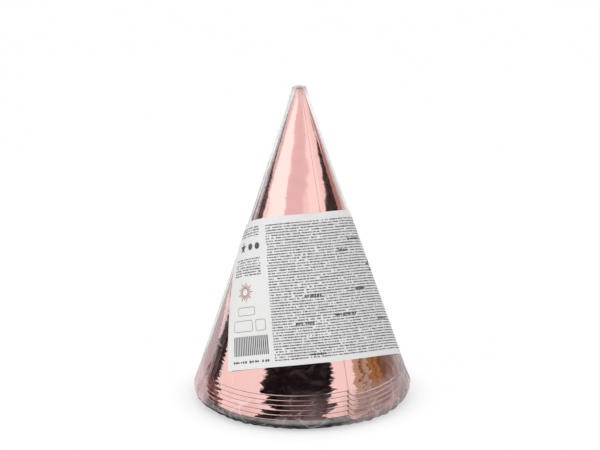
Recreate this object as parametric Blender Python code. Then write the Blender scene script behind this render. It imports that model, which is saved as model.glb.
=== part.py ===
"""A pack of nested New Year party hats: six rolled foil-card cones in a clear cone bag with a paper label.

Units are metres. +Z runs up the common axis of the cones and the origin is in the middle of the bag's
flat underside. The front, with the label, faces -Y, and every angle below is counted from the front
towards +X. hat_1 is the outermost hat and hat_6, the innermost, has the lowest rim.
"""

from math import asin, atan2, cos, degrees, hypot, pi, radians, sin, tan

import bmesh
import bpy
from mathutils import Matrix, Vector

# The card blank and how it is rolled
HAT_COUNT = 6
HAT_SLANT = 0.156  # from the sharp apex to the rim, along the card
HAT_RADIUS = 0.0493  # of the rim
CARD = 0.00025  # thickness of the foil-faced card
TIP_HOLE_SLANT = 0.004  # the rolled tip stays open up to here, along the card
SEAM_ANGLE = 28.0  # the outer ply's free edge
LAP_COLUMNS = 2  # facets that the inner ply runs on under the outer one
LAP_GAP = 0.00016  # between the plies, where the tape is
RIM_DIP = 0.003  # the outer ply's corner hangs this much lower than the inner ply's
DIP_POWER = 2.8  # most of the dip is taken up over the last quarter of the turn
CORNER_RADIUS = 0.003  # of the outer ply's lower corner
COLUMNS = 60  # facets round a hat
ROW_SHARES = (0.0, 0.3, 0.6, 0.82, 1.0)

# How the hats nest
NEST_CLEARANCE = 0.00017  # between one hat's double-ply seam or bars and the next hat
SEAT_GAP = 0.0003  # under the lowest rim

# Tape in the seam
TAPE = 0.00008

# Fastening bars of the chin elastic, two to a hat, each through a punched hole
BAR_SLANT_ABOVE_RIM = 0.016
BAR_FROM_SEAM = -100.0  # the left bar; its twin is on the far side
BAR_LENGTH = 0.0105
BAR_WIDTH = 0.0011
BAR_THICKNESS = 0.00026
BAR_LIFT = 0.00013  # off the card
BAR_SEGMENTS = 4
PUNCHED_HOLE_RADIUS = 0.0007
STEM_CLEARANCE = 0.00025

# Clear bag
FILM = 0.0002
BAG_CLEARANCE = 0.0002  # outside the outermost hat's elastic bars
BAG_TIP_CLEARANCE = 0.0006
BAG_COLUMNS = 72
CURL_STEPS = 5  # facets of the curl by which the wall rolls in under the rims
BAG_LIP_HEIGHT = 0.0006  # the rolled-in lip's underside

# Gathered base of the bag
BASE_HEIGHT = 0.0017  # at the pleats' ridges, where the lowest rim rests
BASE_MOUTH_RADIUS = 0.022
BASE_OVERHANG = 0.0001  # past the lowest rim
RIDGE_INSET = 0.004  # the pleats are highest this far inside the rims' radius
PLEATS = 36
PLEAT_DEPTH = 0.0006

# Paper label on the bag
LABEL_WIDTH = 0.124
LABEL_HEIGHT = 0.0745
LABEL_LEFT = 0.0411  # lower left corner on the unrolled cone: this far left of the front line
LABEL_BELOW_APEX = 0.1486  # and this far below the apex
LABEL_TILT = 4.84
LABEL_PAPER = 0.00012
LABEL_GAP = 0.0001

# Everything below follows from the sizes above
ALPHA = asin(HAT_RADIUS / HAT_SLANT)
SIN, COS, TAN = sin(ALPHA), cos(ALPHA), tan(ALPHA)
SEAM = radians(SEAM_ANGLE)
COLUMN = 2 * pi / COLUMNS
SEAM_THICKNESS = 2 * CARD + LAP_GAP
BAR_HEIGHT = BAR_LIFT + BAR_THICKNESS  # its outer face above the card
NEST_STEP = (max(SEAM_THICKNESS, CARD + BAR_HEIGHT) + NEST_CLEARANCE) / SIN
INNER_APEX = BASE_HEIGHT + SEAT_GAP + (HAT_SLANT + RIM_DIP) * COS
OUTER_APEX = INNER_APEX + (HAT_COUNT - 1) * NEST_STEP
BAG_APEX = OUTER_APEX + (SEAM_THICKNESS + BAR_HEIGHT + BAG_CLEARANCE + FILM) / SIN
BAR_SLANT = HAT_SLANT - BAR_SLANT_ABOVE_RIM


def clear_scene():
    for old in list(bpy.data.objects):
        bpy.data.objects.remove(old, do_unlink=True)


def material(name, colour, metallic, roughness, alpha=1.0, transmission=0.0):
    made = bpy.data.materials.new(name)
    made.use_nodes = True
    shader = made.node_tree.nodes["Principled BSDF"]
    shader.inputs["Base Color"].default_value = (*colour, 1.0)
    shader.inputs["Metallic"].default_value = metallic
    shader.inputs["Roughness"].default_value = roughness
    shader.inputs["Alpha"].default_value = alpha
    shader.inputs["Transmission Weight"].default_value = transmission
    made.diffuse_color = (*colour, 1.0)
    return made


def cone_point(slant, angle, lift):
    """A point of a cone whose sharp apex is the local origin, lifted off its surface along the normal."""
    radius = slant * SIN + lift * COS
    return Vector((radius * sin(angle), -radius * cos(angle), lift * SIN - slant * COS))


def cone_normal(angle):
    return Vector((COS * sin(angle), -COS * cos(angle), SIN))


def sheet_mesh(name, strips):
    """A one-sided sheet facing outwards, from strips of points that run down the cone, left to right."""
    bm = bmesh.new()
    columns = [[bm.verts.new(point) for point in strip] for strip in strips]
    for left, right in zip(columns, columns[1:]):
        if len(left) == len(right):
            for i in range(len(left) - 1):
                bm.faces.new((left[i], left[i + 1], right[i + 1], right[i]))
        elif len(left) == 1:
            bm.faces.new((left[0], right[-1], right[0]))
        else:
            bm.faces.new((left[0], left[-1], right[0]))
    mesh = bpy.data.meshes.new(name)
    bm.to_mesh(mesh)
    bm.free()
    return mesh


def placed(name, mesh, parent=None, location=(0, 0, 0), skin=None):
    obj = bpy.data.objects.new(name, mesh)
    obj.location = location
    obj.parent = parent
    bpy.context.collection.objects.link(obj)
    if skin:
        obj.data.materials.clear()
        obj.data.materials.append(skin)
    return obj


def thicken(obj, thickness):
    shell = obj.modifiers.new("Thickness", "SOLIDIFY")
    shell.thickness = thickness
    shell.offset = 1.0
    shell.use_even_offset = True


def hidden_tool(obj):
    obj.hide_render = True
    obj.display_type = "WIRE"
    return obj


def baked(obj, name):
    """The object's mesh with its modifiers applied, to be shared by the copies of a repeated piece."""
    graph = bpy.context.evaluated_depsgraph_get()
    mesh = bpy.data.meshes.new_from_object(obj.evaluated_get(graph))
    mesh.name = name
    mesh.shade_smooth()
    mesh.set_sharp_from_angle(angle=radians(30))
    bpy.data.objects.remove(obj, do_unlink=True)
    return mesh


# ---- The hat: one card blank rolled into a spiral cone ----


def corner_columns():
    """Angles past the free edge at which the rounded corner has its points."""
    return [CORNER_RADIUS * (1 - cos(k * pi / 8)) / HAT_RADIUS for k in range(5)]


def blank_angles():
    """Column angles of the blank, from the free edge once round and on under the lap."""
    fine = corner_columns()
    coarse = [k * COLUMN for k in range(1, COLUMNS)]
    first = fine + [a for a in coarse if a > fine[-1] + 1e-6]
    lap = [k * COLUMN for k in range(1, LAP_COLUMNS + 1)]
    second = fine + [a for a in lap if a > fine[-1] + 1e-6]
    return first + [2 * pi + a for a in second]


def spiral_lift(turn):
    """How far the card's inner face stands off the reference cone; the outer ply starts outside the lap."""
    return (CARD + LAP_GAP) * (1 - turn / (2 * pi))


def rim_slant(turn):
    """The rim's place along the card: lowest at the free edge, which has a rounded corner."""
    share = min(turn / (2 * pi), 1.0)
    slant = HAT_SLANT + RIM_DIP * (1 - share**DIP_POWER)
    along = turn * HAT_RADIUS
    if along < CORNER_RADIUS:
        slant -= CORNER_RADIUS - (CORNER_RADIUS**2 - (CORNER_RADIUS - along) ** 2) ** 0.5
    return slant


def bar_angles():
    left = SEAM + radians(BAR_FROM_SEAM)
    return (left, left + pi)


def hat_mesh():
    strips = []
    for turn in blank_angles():
        rim = rim_slant(turn)
        strips.append(
            [
                cone_point(TIP_HOLE_SLANT + share * (rim - TIP_HOLE_SLANT), SEAM + turn, spiral_lift(turn))
                for share in ROW_SHARES
            ]
        )
    blank = placed("blank", sheet_mesh("blank", strips))
    thicken(blank, CARD)
    punches = []
    for angle in bar_angles():
        bpy.ops.mesh.primitive_cylinder_add(vertices=12, radius=PUNCHED_HOLE_RADIUS, depth=12 * CARD)
        punch = hidden_tool(bpy.context.object)
        punch.location = cone_point(BAR_SLANT, angle, CARD)
        punch.rotation_euler = cone_normal(angle).to_track_quat("Z", "Y").to_euler()
        hole = blank.modifiers.new("Punched hole", "BOOLEAN")
        hole.object = punch
        hole.operation = "DIFFERENCE"
        punches.append(punch)
    mesh = baked(blank, "hat_card")
    for punch in punches:
        bpy.data.objects.remove(punch, do_unlink=True)
    return mesh


def tape_mesh():
    """A strip of double-sided tape between the plies, along the hidden edge of the inner one."""
    margin = (LAP_GAP - TAPE) / 2
    first = corner_columns()[-1]
    turns = [first] + [k * COLUMN for k in range(1, LAP_COLUMNS + 1) if k * COLUMN > first + 1e-6]
    strips = []
    for turn in turns:
        lift = spiral_lift(2 * pi + turn) + CARD + margin
        strips.append(
            [
                cone_point(TIP_HOLE_SLANT + share * (HAT_SLANT - TIP_HOLE_SLANT), SEAM + turn, lift)
                for share in (0.06, 0.97)
            ]
        )
    tape = placed("tape", sheet_mesh("tape", strips))
    thicken(tape, TAPE)
    return baked(tape, "seam_tape")


def bar_mesh(angle):
    """A flat metal bar bent to the cone, with the stem that holds it in the punched hole."""
    lift = spiral_lift((angle - SEAM) % (2 * pi)) + CARD + BAR_LIFT
    radius = BAR_SLANT * SIN
    half = BAR_LENGTH / 2 / radius
    strips = []
    for k in range(BAR_SEGMENTS + 1):
        across = angle + half * (2 * k / BAR_SEGMENTS - 1)
        width = BAR_WIDTH * (0.6 if k in (0, BAR_SEGMENTS) else 1.0)
        strips.append([cone_point(BAR_SLANT + side * width / 2, across, lift) for side in (-1, 0, 1)])
    bar = placed("bar", sheet_mesh("bar", strips))
    thicken(bar, BAR_THICKNESS)
    foot = CARD + BAR_LIFT + BAR_THICKNESS / 2
    bpy.ops.mesh.primitive_cylinder_add(
        vertices=8, radius=PUNCHED_HOLE_RADIUS - STEM_CLEARANCE, depth=foot
    )
    stem = hidden_tool(bpy.context.object)
    stem.location = cone_point(BAR_SLANT, angle, lift + BAR_THICKNESS / 2 - foot / 2)
    stem.rotation_euler = cone_normal(angle).to_track_quat("Z", "Y").to_euler()
    join = bar.modifiers.new("Stem", "BOOLEAN")
    join.object = stem
    join.operation = "UNION"
    mesh = baked(bar, "elastic_bar")
    bpy.data.objects.remove(stem, do_unlink=True)
    return mesh


def make_hats(foil, adhesive, metal):
    """Six alike hats on one axis, each on its own empty, from which it lifts off the next one in."""
    card = hat_mesh()
    tape = tape_mesh()
    bars = [bar_mesh(angle) for angle in bar_angles()]
    for number in range(1, HAT_COUNT + 1):
        apex = INNER_APEX + (HAT_COUNT - number) * NEST_STEP
        lift = placed(f"hat_{number}_lift", None, location=(0, 0, apex))
        placed(f"hat_{number}", card, lift, skin=foil)
        placed(f"seam_tape_{number}", tape, lift, skin=adhesive)
        placed(f"bar_left_{number}", bars[0], lift, skin=metal)
        placed(f"bar_right_{number}", bars[1], lift, skin=metal)


# ---- The bag: a turned film cone over a gathered base ----


def base_outer_radius():
    return (HAT_SLANT + RIM_DIP) * SIN + SEAM_THICKNESS * COS + BASE_OVERHANG


def bag_profile():
    """Half section of the film, down its outside from the blunt tip and back up its inside."""
    tip_top = OUTER_APEX - TIP_HOLE_SLANT * COS + SEAM_THICKNESS * SIN + BAG_TIP_CLEARANCE + FILM
    tip_radius = (BAG_APEX - tip_top) * TAN
    # The curl is the one arc that is tangent to the wall and comes in level, just clear of the base.
    centre_r = base_outer_radius() + SEAT_GAP
    curl = ((BAG_APEX - BAG_LIP_HEIGHT) * TAN - centre_r) * COS / (1 + SIN)
    centre_z = BAG_LIP_HEIGHT + curl
    outer = [(0.0, tip_top), (tip_radius * 0.6, tip_top), (tip_radius, tip_top - tip_radius * 0.25)]
    inner = [(0.0, tip_top - FILM), (tip_radius * 0.6 - FILM / 2, tip_top - FILM)]
    inner.append((tip_radius - FILM, tip_top - tip_radius * 0.25 - FILM / 2))
    for k in range(CURL_STEPS + 1):
        turn = ALPHA - k * (ALPHA + pi / 2) / CURL_STEPS
        for side, radius in ((outer, curl), (inner, curl - FILM)):
            side.append((centre_r + radius * cos(turn), centre_z + radius * sin(turn)))
    return outer + inner[::-1]


def make_bag(lift, film):
    profile = bag_profile()
    mesh = bpy.data.meshes.new("bag_film")
    mesh.from_pydata(
        [(r, 0, z) for r, z in profile], [(i, i + 1) for i in range(len(profile) - 1)], []
    )
    bag = placed("bag_film", mesh, lift, skin=film)
    turn = bag.modifiers.new("Turn", "SCREW")
    turn.angle = 2 * pi
    turn.steps = turn.render_steps = BAG_COLUMNS
    turn.use_merge_vertices = True
    turn.merge_threshold = 0.000001
    turn.use_smooth_shade = True
    return bag


def make_base(film):
    """The bag's gathered foot: a flat-bottomed ring of pleats under the rims, open in the middle."""
    outer = base_outer_radius()
    mid = (BASE_MOUTH_RADIUS + outer) / 2
    seat = HAT_RADIUS - RIDGE_INSET
    section = [
        (BASE_MOUTH_RADIUS, 0.0),
        (outer, 0.0),
        (outer, BASE_HEIGHT - PLEAT_DEPTH / 2),
        (seat, BASE_HEIGHT),
        (mid, BASE_HEIGHT * 0.9),
        (BASE_MOUTH_RADIUS, BASE_HEIGHT * 0.7),
    ]
    bm = bmesh.new()
    ring = [bm.verts.new((r, 0, z)) for r, z in section]
    edges = [bm.edges.new((a, b)) for a, b in zip(ring, ring[1:] + ring[:1])]
    bmesh.ops.spin(
        bm, geom=ring + edges, cent=(0, 0, 0), axis=(0, 0, 1), angle=2 * pi, steps=2 * PLEATS
    )
    bmesh.ops.remove_doubles(bm, verts=bm.verts, dist=0.000001)
    half_pleat = pi / PLEATS
    for vert in bm.verts:
        if vert.co.z > 0 and round(atan2(vert.co.y, vert.co.x) / half_pleat) % 2:
            vert.co.z -= PLEAT_DEPTH
    bmesh.ops.recalc_face_normals(bm, faces=bm.faces)
    mesh = bpy.data.meshes.new("bag_base")
    bm.to_mesh(mesh)
    bm.free()
    return placed("bag_base", mesh, skin=film)


# ---- The label: a paper rectangle wrapped on the cone ----


def label_interval(theta, corners):
    """Where the ray at this angle of the unrolled cone enters and leaves the label's rectangle."""
    direction = Vector((sin(theta), -cos(theta)))
    found = []
    for a, b in zip(corners, corners[1:] + corners[:1]):
        edge = b - a
        cross = direction.x * edge.y - direction.y * edge.x
        if abs(cross) < 1e-12:
            continue
        slant = (a.x * edge.y - a.y * edge.x) / cross
        share = (a.x * direction.y - a.y * direction.x) / cross
        if -1e-6 <= share <= 1 + 1e-6:
            found.append(slant)
    return min(found), max(found)


def make_label(lift, paper):
    tilt = Matrix.Rotation(radians(LABEL_TILT), 2)
    origin = Vector((-LABEL_LEFT, -LABEL_BELOW_APEX))
    corners = [
        origin + tilt @ Vector(offset)
        for offset in ((0, 0), (LABEL_WIDTH, 0), (LABEL_WIDTH, LABEL_HEIGHT), (0, LABEL_HEIGHT))
    ]
    thetas = sorted(atan2(corner.x, -corner.y) for corner in corners)
    first, last = thetas[0] / SIN, thetas[-1] / SIN
    facet = 2 * pi / BAG_COLUMNS
    angles = {theta / SIN for theta in thetas}
    count = int(pi / facet)
    for k in range(-count, count + 1):
        angle = k * facet
        if first < angle < last and min(abs(angle - other) for other in angles) > facet * 0.05:
            angles.add(angle)
    # The bag's outer face is a cone with the same slope and its apex at BAG_APEX.
    strips = []
    for angle in sorted(angles):
        if angle in (first, last):
            corner = min(corners, key=lambda c: abs(atan2(c.x, -c.y) / SIN - angle))
            strips.append([cone_point(hypot(*corner), angle, LABEL_GAP)])
        else:
            top, bottom = label_interval(angle * SIN, corners)
            strips.append([cone_point(slant, angle, LABEL_GAP) for slant in (top, bottom)])
    label = placed("label", sheet_mesh("label", strips), lift, (0, 0, BAG_APEX), paper)
    thicken(label, LABEL_PAPER)
    return label


def main():
    clear_scene()
    foil = material("rose gold foil card", (0.86, 0.50, 0.45), 1.0, 0.16)
    adhesive = material("seam tape", (0.80, 0.78, 0.72), 0.0, 0.5)
    metal = material("elastic end bar, steel", (0.75, 0.75, 0.76), 1.0, 0.25)
    film = material("clear bag film", (0.96, 0.96, 0.97), 0.0, 0.05, alpha=0.25)
    gathered = material("gathered bag film", (0.90, 0.90, 0.90), 0.0, 0.15, alpha=0.4)
    paper = material("label paper", (0.86, 0.86, 0.86), 0.0, 0.55)
    make_base(gathered)
    make_hats(foil, adhesive, metal)
    bag_lift = placed("bag_lift", None)
    make_bag(bag_lift, film)
    make_label(bag_lift, paper)
    rim = (HAT_SLANT + RIM_DIP) * SIN
    print(f"half angle {degrees(ALPHA):.2f} deg, nest step {NEST_STEP * 1000:.2f} mm, lowest rim {rim * 1000:.1f} mm")


main()
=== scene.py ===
"""Looks of a New Year party hat pack: nested rose-gold foil cone hats in a clear cone bag with a paper label.

Metres, +Z up the cones' axis, front towards -Y. Angles are counted from the front towards +X.
"""

from math import asin, cos, pi, radians, sin, sqrt

import bmesh
import bpy
import numpy as np
from mathutils import Matrix, Vector


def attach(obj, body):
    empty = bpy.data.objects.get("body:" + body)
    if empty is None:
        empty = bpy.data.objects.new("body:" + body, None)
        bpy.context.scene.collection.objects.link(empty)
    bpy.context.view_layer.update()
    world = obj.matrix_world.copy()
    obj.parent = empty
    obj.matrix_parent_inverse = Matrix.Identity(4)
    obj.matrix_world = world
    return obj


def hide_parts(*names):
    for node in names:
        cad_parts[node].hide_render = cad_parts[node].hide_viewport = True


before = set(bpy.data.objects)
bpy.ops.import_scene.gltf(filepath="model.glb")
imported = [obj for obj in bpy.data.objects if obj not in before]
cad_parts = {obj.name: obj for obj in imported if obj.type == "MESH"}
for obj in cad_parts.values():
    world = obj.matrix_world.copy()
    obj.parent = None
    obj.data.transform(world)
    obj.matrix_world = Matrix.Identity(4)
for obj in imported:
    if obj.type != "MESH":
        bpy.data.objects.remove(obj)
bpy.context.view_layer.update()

bl_info = {
    "name": "Party Hat Pack",
    "version": (1, 0, 0),
    "blender": (4, 5, 0),
    "location": "3D View > Sidebar > Hats",
    "description": "Builds the visible pieces of a pack of nested foil party hats",
    "category": "Object",
}


# ---- Sizes and colours ----


def metres(name, default, description):
    return bpy.props.FloatProperty(
        name=name,
        default=default,
        min=0.0,
        precision=5,
        subtype="DISTANCE",
        unit="LENGTH",
        description=description,
    )


def place(name, default, description):
    return bpy.props.FloatProperty(
        name=name, default=default, precision=5, unit="LENGTH", description=description
    )


def angle(name, degrees, description):
    return bpy.props.FloatProperty(
        name=name, default=radians(degrees), subtype="ANGLE", unit="ROTATION", description=description
    )


def colour(name, default, description):
    return bpy.props.StringProperty(name=name, default=default, description=description + ", sRGB hex")


class HatSizes(bpy.types.PropertyGroup):
    count: bpy.props.IntProperty(name="Hats", default=6, min=1, description="Nested hats in the pack")
    slant: metres("Slant", 0.156, "From the sharp apex to the rim, along the card")
    radius: metres("Rim radius", 0.0493, "Radius of the rim")
    card: metres("Card", 0.00025, "Thickness of the foil-faced card")
    tip: metres("Tip hole", 0.004, "How far the rolled tip stays open, along the card")
    lap_gap: metres("Lap gap", 0.00016, "Gap between the plies of the lap")
    dip: metres("Rim dip", 0.003, "How much lower the outer ply's corner hangs")
    corner: metres("Corner radius", 0.003, "Radius of the outer ply's lower corner")
    crush: metres("Crushed edge", 0.00026, "How far the die crushes the foil side's edge at the rim")
    nest: metres("Nest clearance", 0.00017, "Between a hat's double seam and the next hat")
    base: metres("Base", 0.002, "Height of the lowest rim above the ground")
    dip_power: bpy.props.FloatProperty(
        name="Dip power", default=2.8, description="How late round the turn the dip is taken up"
    )
    seam_angle: angle("Seam angle", 28, "The outer ply's free edge, from the front")
    lap_angle: angle("Lap angle", 12, "How far the inner ply runs on under the outer one")


class BagSizes(bpy.types.PropertyGroup):
    standoff: metres("Stand-off", 0.00118, "Of the film from the outermost hat's inner face")
    tip_height: metres("Tip height", 0.1638, "Top of the folded film tip")
    lip_radius: metres("Lip radius", 0.0480, "Where the curled-in wall meets the gathered foot")
    lip_height: metres("Lip height", 0.0006, "Height of that line above the ground")
    mouth_radius: metres("Mouth radius", 0.022, "The gathered mouth under the hats")
    weld_width: metres("Weld width", 0.0034, "Width of the welded side seam")
    weld_angle: angle("Weld angle", -66, "The welded side seam, from the front")
    pleats: bpy.props.IntProperty(name="Pleats", default=58, min=8, description="Folds of the gathered foot")


class LabelSizes(bpy.types.PropertyGroup):
    width: metres("Width", 0.124, "Width of the label")
    height: metres("Height", 0.0745, "Height of the label")
    paper: metres("Paper", 0.00012, "Thickness of the paper")
    tilt: angle("Tilt", 4.83, "Turn of the label on the unrolled cone")
    corner_x: place("Corner X", -0.0410, "Lower left corner on the unrolled cone")
    corner_y: place("Corner Y", -0.1493, "Lower left corner on the unrolled cone")
    column: metres("Column", 0.0284, "Width of the narrow left column")
    row_pitch: metres("Row pitch", 0.00132, "Pitch of the printed rows")


class PackColours(bpy.types.PropertyGroup):
    foil: colour("Foil", "#FBCBC5", "Rose-gold vacuum-metallised film")
    board: colour("Board", "#EFE9E4", "White board under the foil")
    # Painted shade: the cut edge is this dark to stand for the shade in the gap under each rim.
    edge: colour("Cut edge", "#3A2C2A", "The card's cut edge")
    film: colour("Film", "#F4F6F6", "Clear bag film")
    # Painted light: the pink in this haze colour is a painted glow of the foil.
    haze_and_glow: colour("Film skirt", "#CDB2B0", "Haze of the slack film, with the foil's glow in it")
    paper: colour("Paper", "#F4F4F3", "Label paper")
    ink: colour("Ink", "#545458", "Label print")
    accent: colour("Accent", "#A84A48", "Second label print")
    steel: colour("Steel", "#D8D6D2", "Elastic end bars")
    tape: colour("Tape", "#DCD8CC", "Double-sided seam tape")


GROUPS = {
    "hat_sizes": HatSizes,
    "bag_sizes": BagSizes,
    "label_sizes": LabelSizes,
    "pack_colours": PackColours,
}

# A card blank is rolled from a grid, dense in the rounded corner and in the band at the rim.
CARD_COLUMNS = 241
CARD_ROWS = 16
CORNER_SHARE = 0.05
UPPER_SHARE = 11 / 15

# How finely the bag and the label are divided.
WALL_ROWS = 170
CURL_ROWS = 14
WALL_COLUMNS = 420
WELD_COLUMNS = 7
FOOT_RINGS = 14
FOOT_COLUMNS_PER_PLEAT = 8
LABEL_COLUMNS = 150
LABEL_ROWS = 60
SHARP = radians(40)


def linear(code):
    """An sRGB hex colour as linear RGBA."""
    parts = [int(code[i : i + 2], 16) / 255 for i in (1, 3, 5)]
    return [p / 12.92 if p <= 0.04045 else ((p + 0.055) / 1.055) ** 2.4 for p in parts] + [1.0]


def every(millimetres):
    """The scale of a pattern whose features lie this far apart."""
    return 1000 / millimetres


def cone_of(sizes):
    """The half angle's sine and cosine, the innermost hat's sharp apex, and the rise from hat to hat."""
    sine = sizes.radius / sizes.slant
    cosine = sqrt(1 - sine * sine)
    inner = sizes.base + (sizes.slant + sizes.dip) * cosine
    step = (2 * sizes.card + sizes.lap_gap + sizes.nest) / sine
    return sine, cosine, inner, step


def apex_over(sizes, standoff):
    """The sharp apex of a cone that stands off the outermost hat's inner face."""
    sine, _, inner, step = cone_of(sizes)
    return inner + (sizes.count - 1) * step + standoff / sine


# ---- Helpers ----

MATH = "ShaderNodeMath"
VECTOR = "ShaderNodeVectorMath"
RANGE = "ShaderNodeMapRange"  # its numbered inputs: value, from min, from max, to min, to max
NOISE = "ShaderNodeTexNoise"
BUMP = "ShaderNodeBump"
MIX = "ShaderNodeMix"  # for colours, its numbered inputs are 0, 6 and 7, and its output is 2
MIX_SHADER = "ShaderNodeMixShader"
SPLIT = "ShaderNodeSeparateXYZ"
COMBINE = "ShaderNodeCombineXYZ"
PRINCIPLED = "ShaderNodeBsdfPrincipled"
GRID = "GeometryNodeMeshGrid"
SOCKETS = {float: "NodeSocketFloat", int: "NodeSocketInt"}


def add(tree, kind, *numbered, to=None, **settings):
    """Adds a node, sets its properties, and sets or links its inputs, in order or by name or number."""
    node = tree.nodes.new(kind)
    for key, value in settings.items():
        setattr(node, key, value)
    for key, value in [*enumerate(numbered), *(to or {}).items()]:
        if isinstance(value, bpy.types.Node):
            value = value.outputs[0]
        if isinstance(value, bpy.types.NodeSocket):
            tree.links.new(value, node.inputs[key])
        else:
            node.inputs[key].default_value = value
    return node


def tree_with(name, inputs):
    """An empty Geometry Nodes tree and its named inputs, each given by its default or its type of socket."""
    tree = bpy.data.node_groups.new(name, "GeometryNodeTree")
    tree.interface.new_socket("Geometry", in_out="OUTPUT", socket_type="NodeSocketGeometry")
    for label, value in inputs.items():
        kind = value if isinstance(value, str) else SOCKETS[type(value)]
        socket = tree.interface.new_socket(label, in_out="INPUT", socket_type=kind)
        if kind != value:
            socket.default_value = value
    return tree, tree.nodes.new("NodeGroupInput").outputs


def end_tree(tree, geometry, material):
    """Ends a tree with real geometry in its material."""
    solid = add(tree, "GeometryNodeRealizeInstances", geometry)
    finished = add(tree, "GeometryNodeSetMaterial", to={"Geometry": solid, "Material": material})
    add(tree, "NodeGroupOutput", finished)
    return tree


def set_inputs(modifier, tree, values):
    """Sets a Geometry Nodes modifier's inputs by the sockets' identifiers."""
    for item in tree.interface.items_tree:
        if item.in_out == "INPUT" and item.name in values:
            modifier[item.identifier] = values[item.name]


def linked(name, data):
    """A new object in the scene."""
    obj = bpy.data.objects.new(name, data)
    bpy.context.collection.objects.link(obj)
    return obj


def made_by(tree, name, values, start=None, thickness=0.0):
    """A plain mesh object from a Geometry Nodes tree, on an empty mesh or on the flat mesh given."""
    source = linked(name + "_source", start or bpy.data.meshes.new(name))
    modifier = source.modifiers.new("Shape", "NODES")
    modifier.node_group = tree
    set_inputs(modifier, tree, values)
    if thickness:
        shell = source.modifiers.new("Thickness", "SOLIDIFY")
        shell.thickness = thickness
        shell.offset = 1.0
        shell.use_even_offset = True
    graph = bpy.context.evaluated_depsgraph_get()
    mesh = bpy.data.meshes.new_from_object(source.evaluated_get(graph))
    bpy.data.objects.remove(source, do_unlink=True)
    mesh.name = name
    return linked(name, mesh)


def mesh_from(name, points, faces):
    """A smooth mesh from numpy points and quads."""
    mesh = bpy.data.meshes.new(name)
    mesh.from_pydata([tuple(p) for p in points], [], [tuple(int(i) for i in f) for f in faces])
    mesh.shade_smooth()
    return mesh


def grid_faces(rows, columns, closed=False):
    """Quads of a grid whose points run along a row first; closed joins each row's ends."""
    width = columns if closed else columns - 1
    row, column = np.meshgrid(np.arange(rows - 1), np.arange(width), indexing="ij")
    left = row * columns + column
    right = row * columns + (column + 1) % columns
    return np.stack([left, left + columns, right + columns, right], -1).reshape(-1, 4)


def around(radius, turn, height):
    """Points at a distance from the axis, an angle from the front and a height."""
    return np.stack([radius * np.sin(turn), -radius * np.cos(turn), height], -1).reshape(-1, 3)


def taken_from(bm, name):
    """A mesh with what a bmesh holds, which is freed."""
    mesh = bpy.data.meshes.new(name)
    bm.to_mesh(mesh)
    bm.free()
    return mesh


def dress(obj, *materials):
    """Gives an object these materials and no others."""
    obj.data.materials.clear()
    for material in materials:
        obj.data.materials.append(material)


def blank_material(name):
    """An empty material, its node tree and the object's own coordinates."""
    material = bpy.data.materials.new(name)
    material.use_nodes = True
    tree = material.node_tree
    tree.nodes.clear()
    return material, tree, add(tree, "ShaderNodeTexCoord").outputs["Object"]


# ---- Materials ----


def uneven(tree, code, grain, least, most):
    """A colour that fine noise makes uneven by these factors."""
    tone = add(tree, RANGE, grain, 0.0, 1.0, least, most)
    shade = add(tree, MIX, to={0: 1.0, 6: linear(code), 7: tone}, data_type="RGBA", blend_type="MULTIPLY")
    return shade.outputs[2]


def ripples(tree, spot, shift, long, high, detail, roughness):
    """Noise about zero whose ripples are this long round the cone and this high, in millimetres."""
    squeezed = add(tree, VECTOR, spot, (every(long), every(long), every(high)), operation="MULTIPLY")
    noise = add(
        tree,
        NOISE,
        to={"Vector": squeezed, "W": shift, "Scale": 1.0, "Detail": detail, "Roughness": roughness},
        noise_dimensions="4D",
    )
    return add(tree, MATH, noise, 0.5, operation="SUBTRACT")


def foil_material():
    """Vacuum-metallised PET film laminated on card: a tinted mirror that ripples with the board below it."""
    material, tree, spot = blank_material("rose-gold metallised foil card")
    axis = add(tree, SPLIT, spot).outputs
    # Each hat carries its number, so that no two of them ripple alike.
    number = add(tree, "ShaderNodeAttribute", attribute_name="hat_number").outputs["Fac"]
    shift = add(tree, MATH, number, 3.7, operation="MULTIPLY")
    # The board waves over 20 to 40 mm, which bends the mirrored edges.
    wave = add(
        tree,
        NOISE,
        to={"Vector": spot, "W": shift, "Scale": every(26.32), "Detail": 1.0, "Roughness": 0.4},
        noise_dimensions="4D",
    )
    bump = add(tree, BUMP, to={"Height": wave, "Strength": 1.0, "Distance": 0.00035})
    # Fine ripples lie round the cone and fray upright reflections sideways. Broader ones, strongest at the
    # rims, shift the reflection from one rim to the next.
    fray = ripples(tree, spot, shift, 3.03, 0.5263, 2.0, 0.6)
    sway = ripples(tree, spot, shift, 29.41, 3.03, 1.0, 0.5)
    low = add(tree, RANGE, axis["Z"], 0.013, 0.026, 0.5, 0.08)
    fine = add(tree, MATH, fray, 0.17, operation="MULTIPLY")
    broad = add(tree, MATH, sway, low, operation="MULTIPLY")
    lean = add(tree, MATH, fine, broad, operation="ADD")
    back = add(tree, MATH, axis["Y"], -1.0, operation="MULTIPLY")
    round_the_cone = add(tree, VECTOR, add(tree, COMBINE, back, axis["X"]), operation="NORMALIZE")
    push = add(tree, VECTOR, to={0: round_the_cone, "Scale": lean}, operation="SCALE")
    leaning = add(tree, VECTOR, add(tree, VECTOR, bump, push, operation="ADD"), operation="NORMALIZE")
    tint = linear(bpy.context.scene.pack_colours.foil)
    finish = {"Base Color": tint, "Metallic": 1.0, "Roughness": 0.05, "Normal": leaning}
    shader = add(tree, PRINCIPLED, to=finish)
    add(tree, "ShaderNodeOutputMaterial", shader)
    return material


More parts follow.
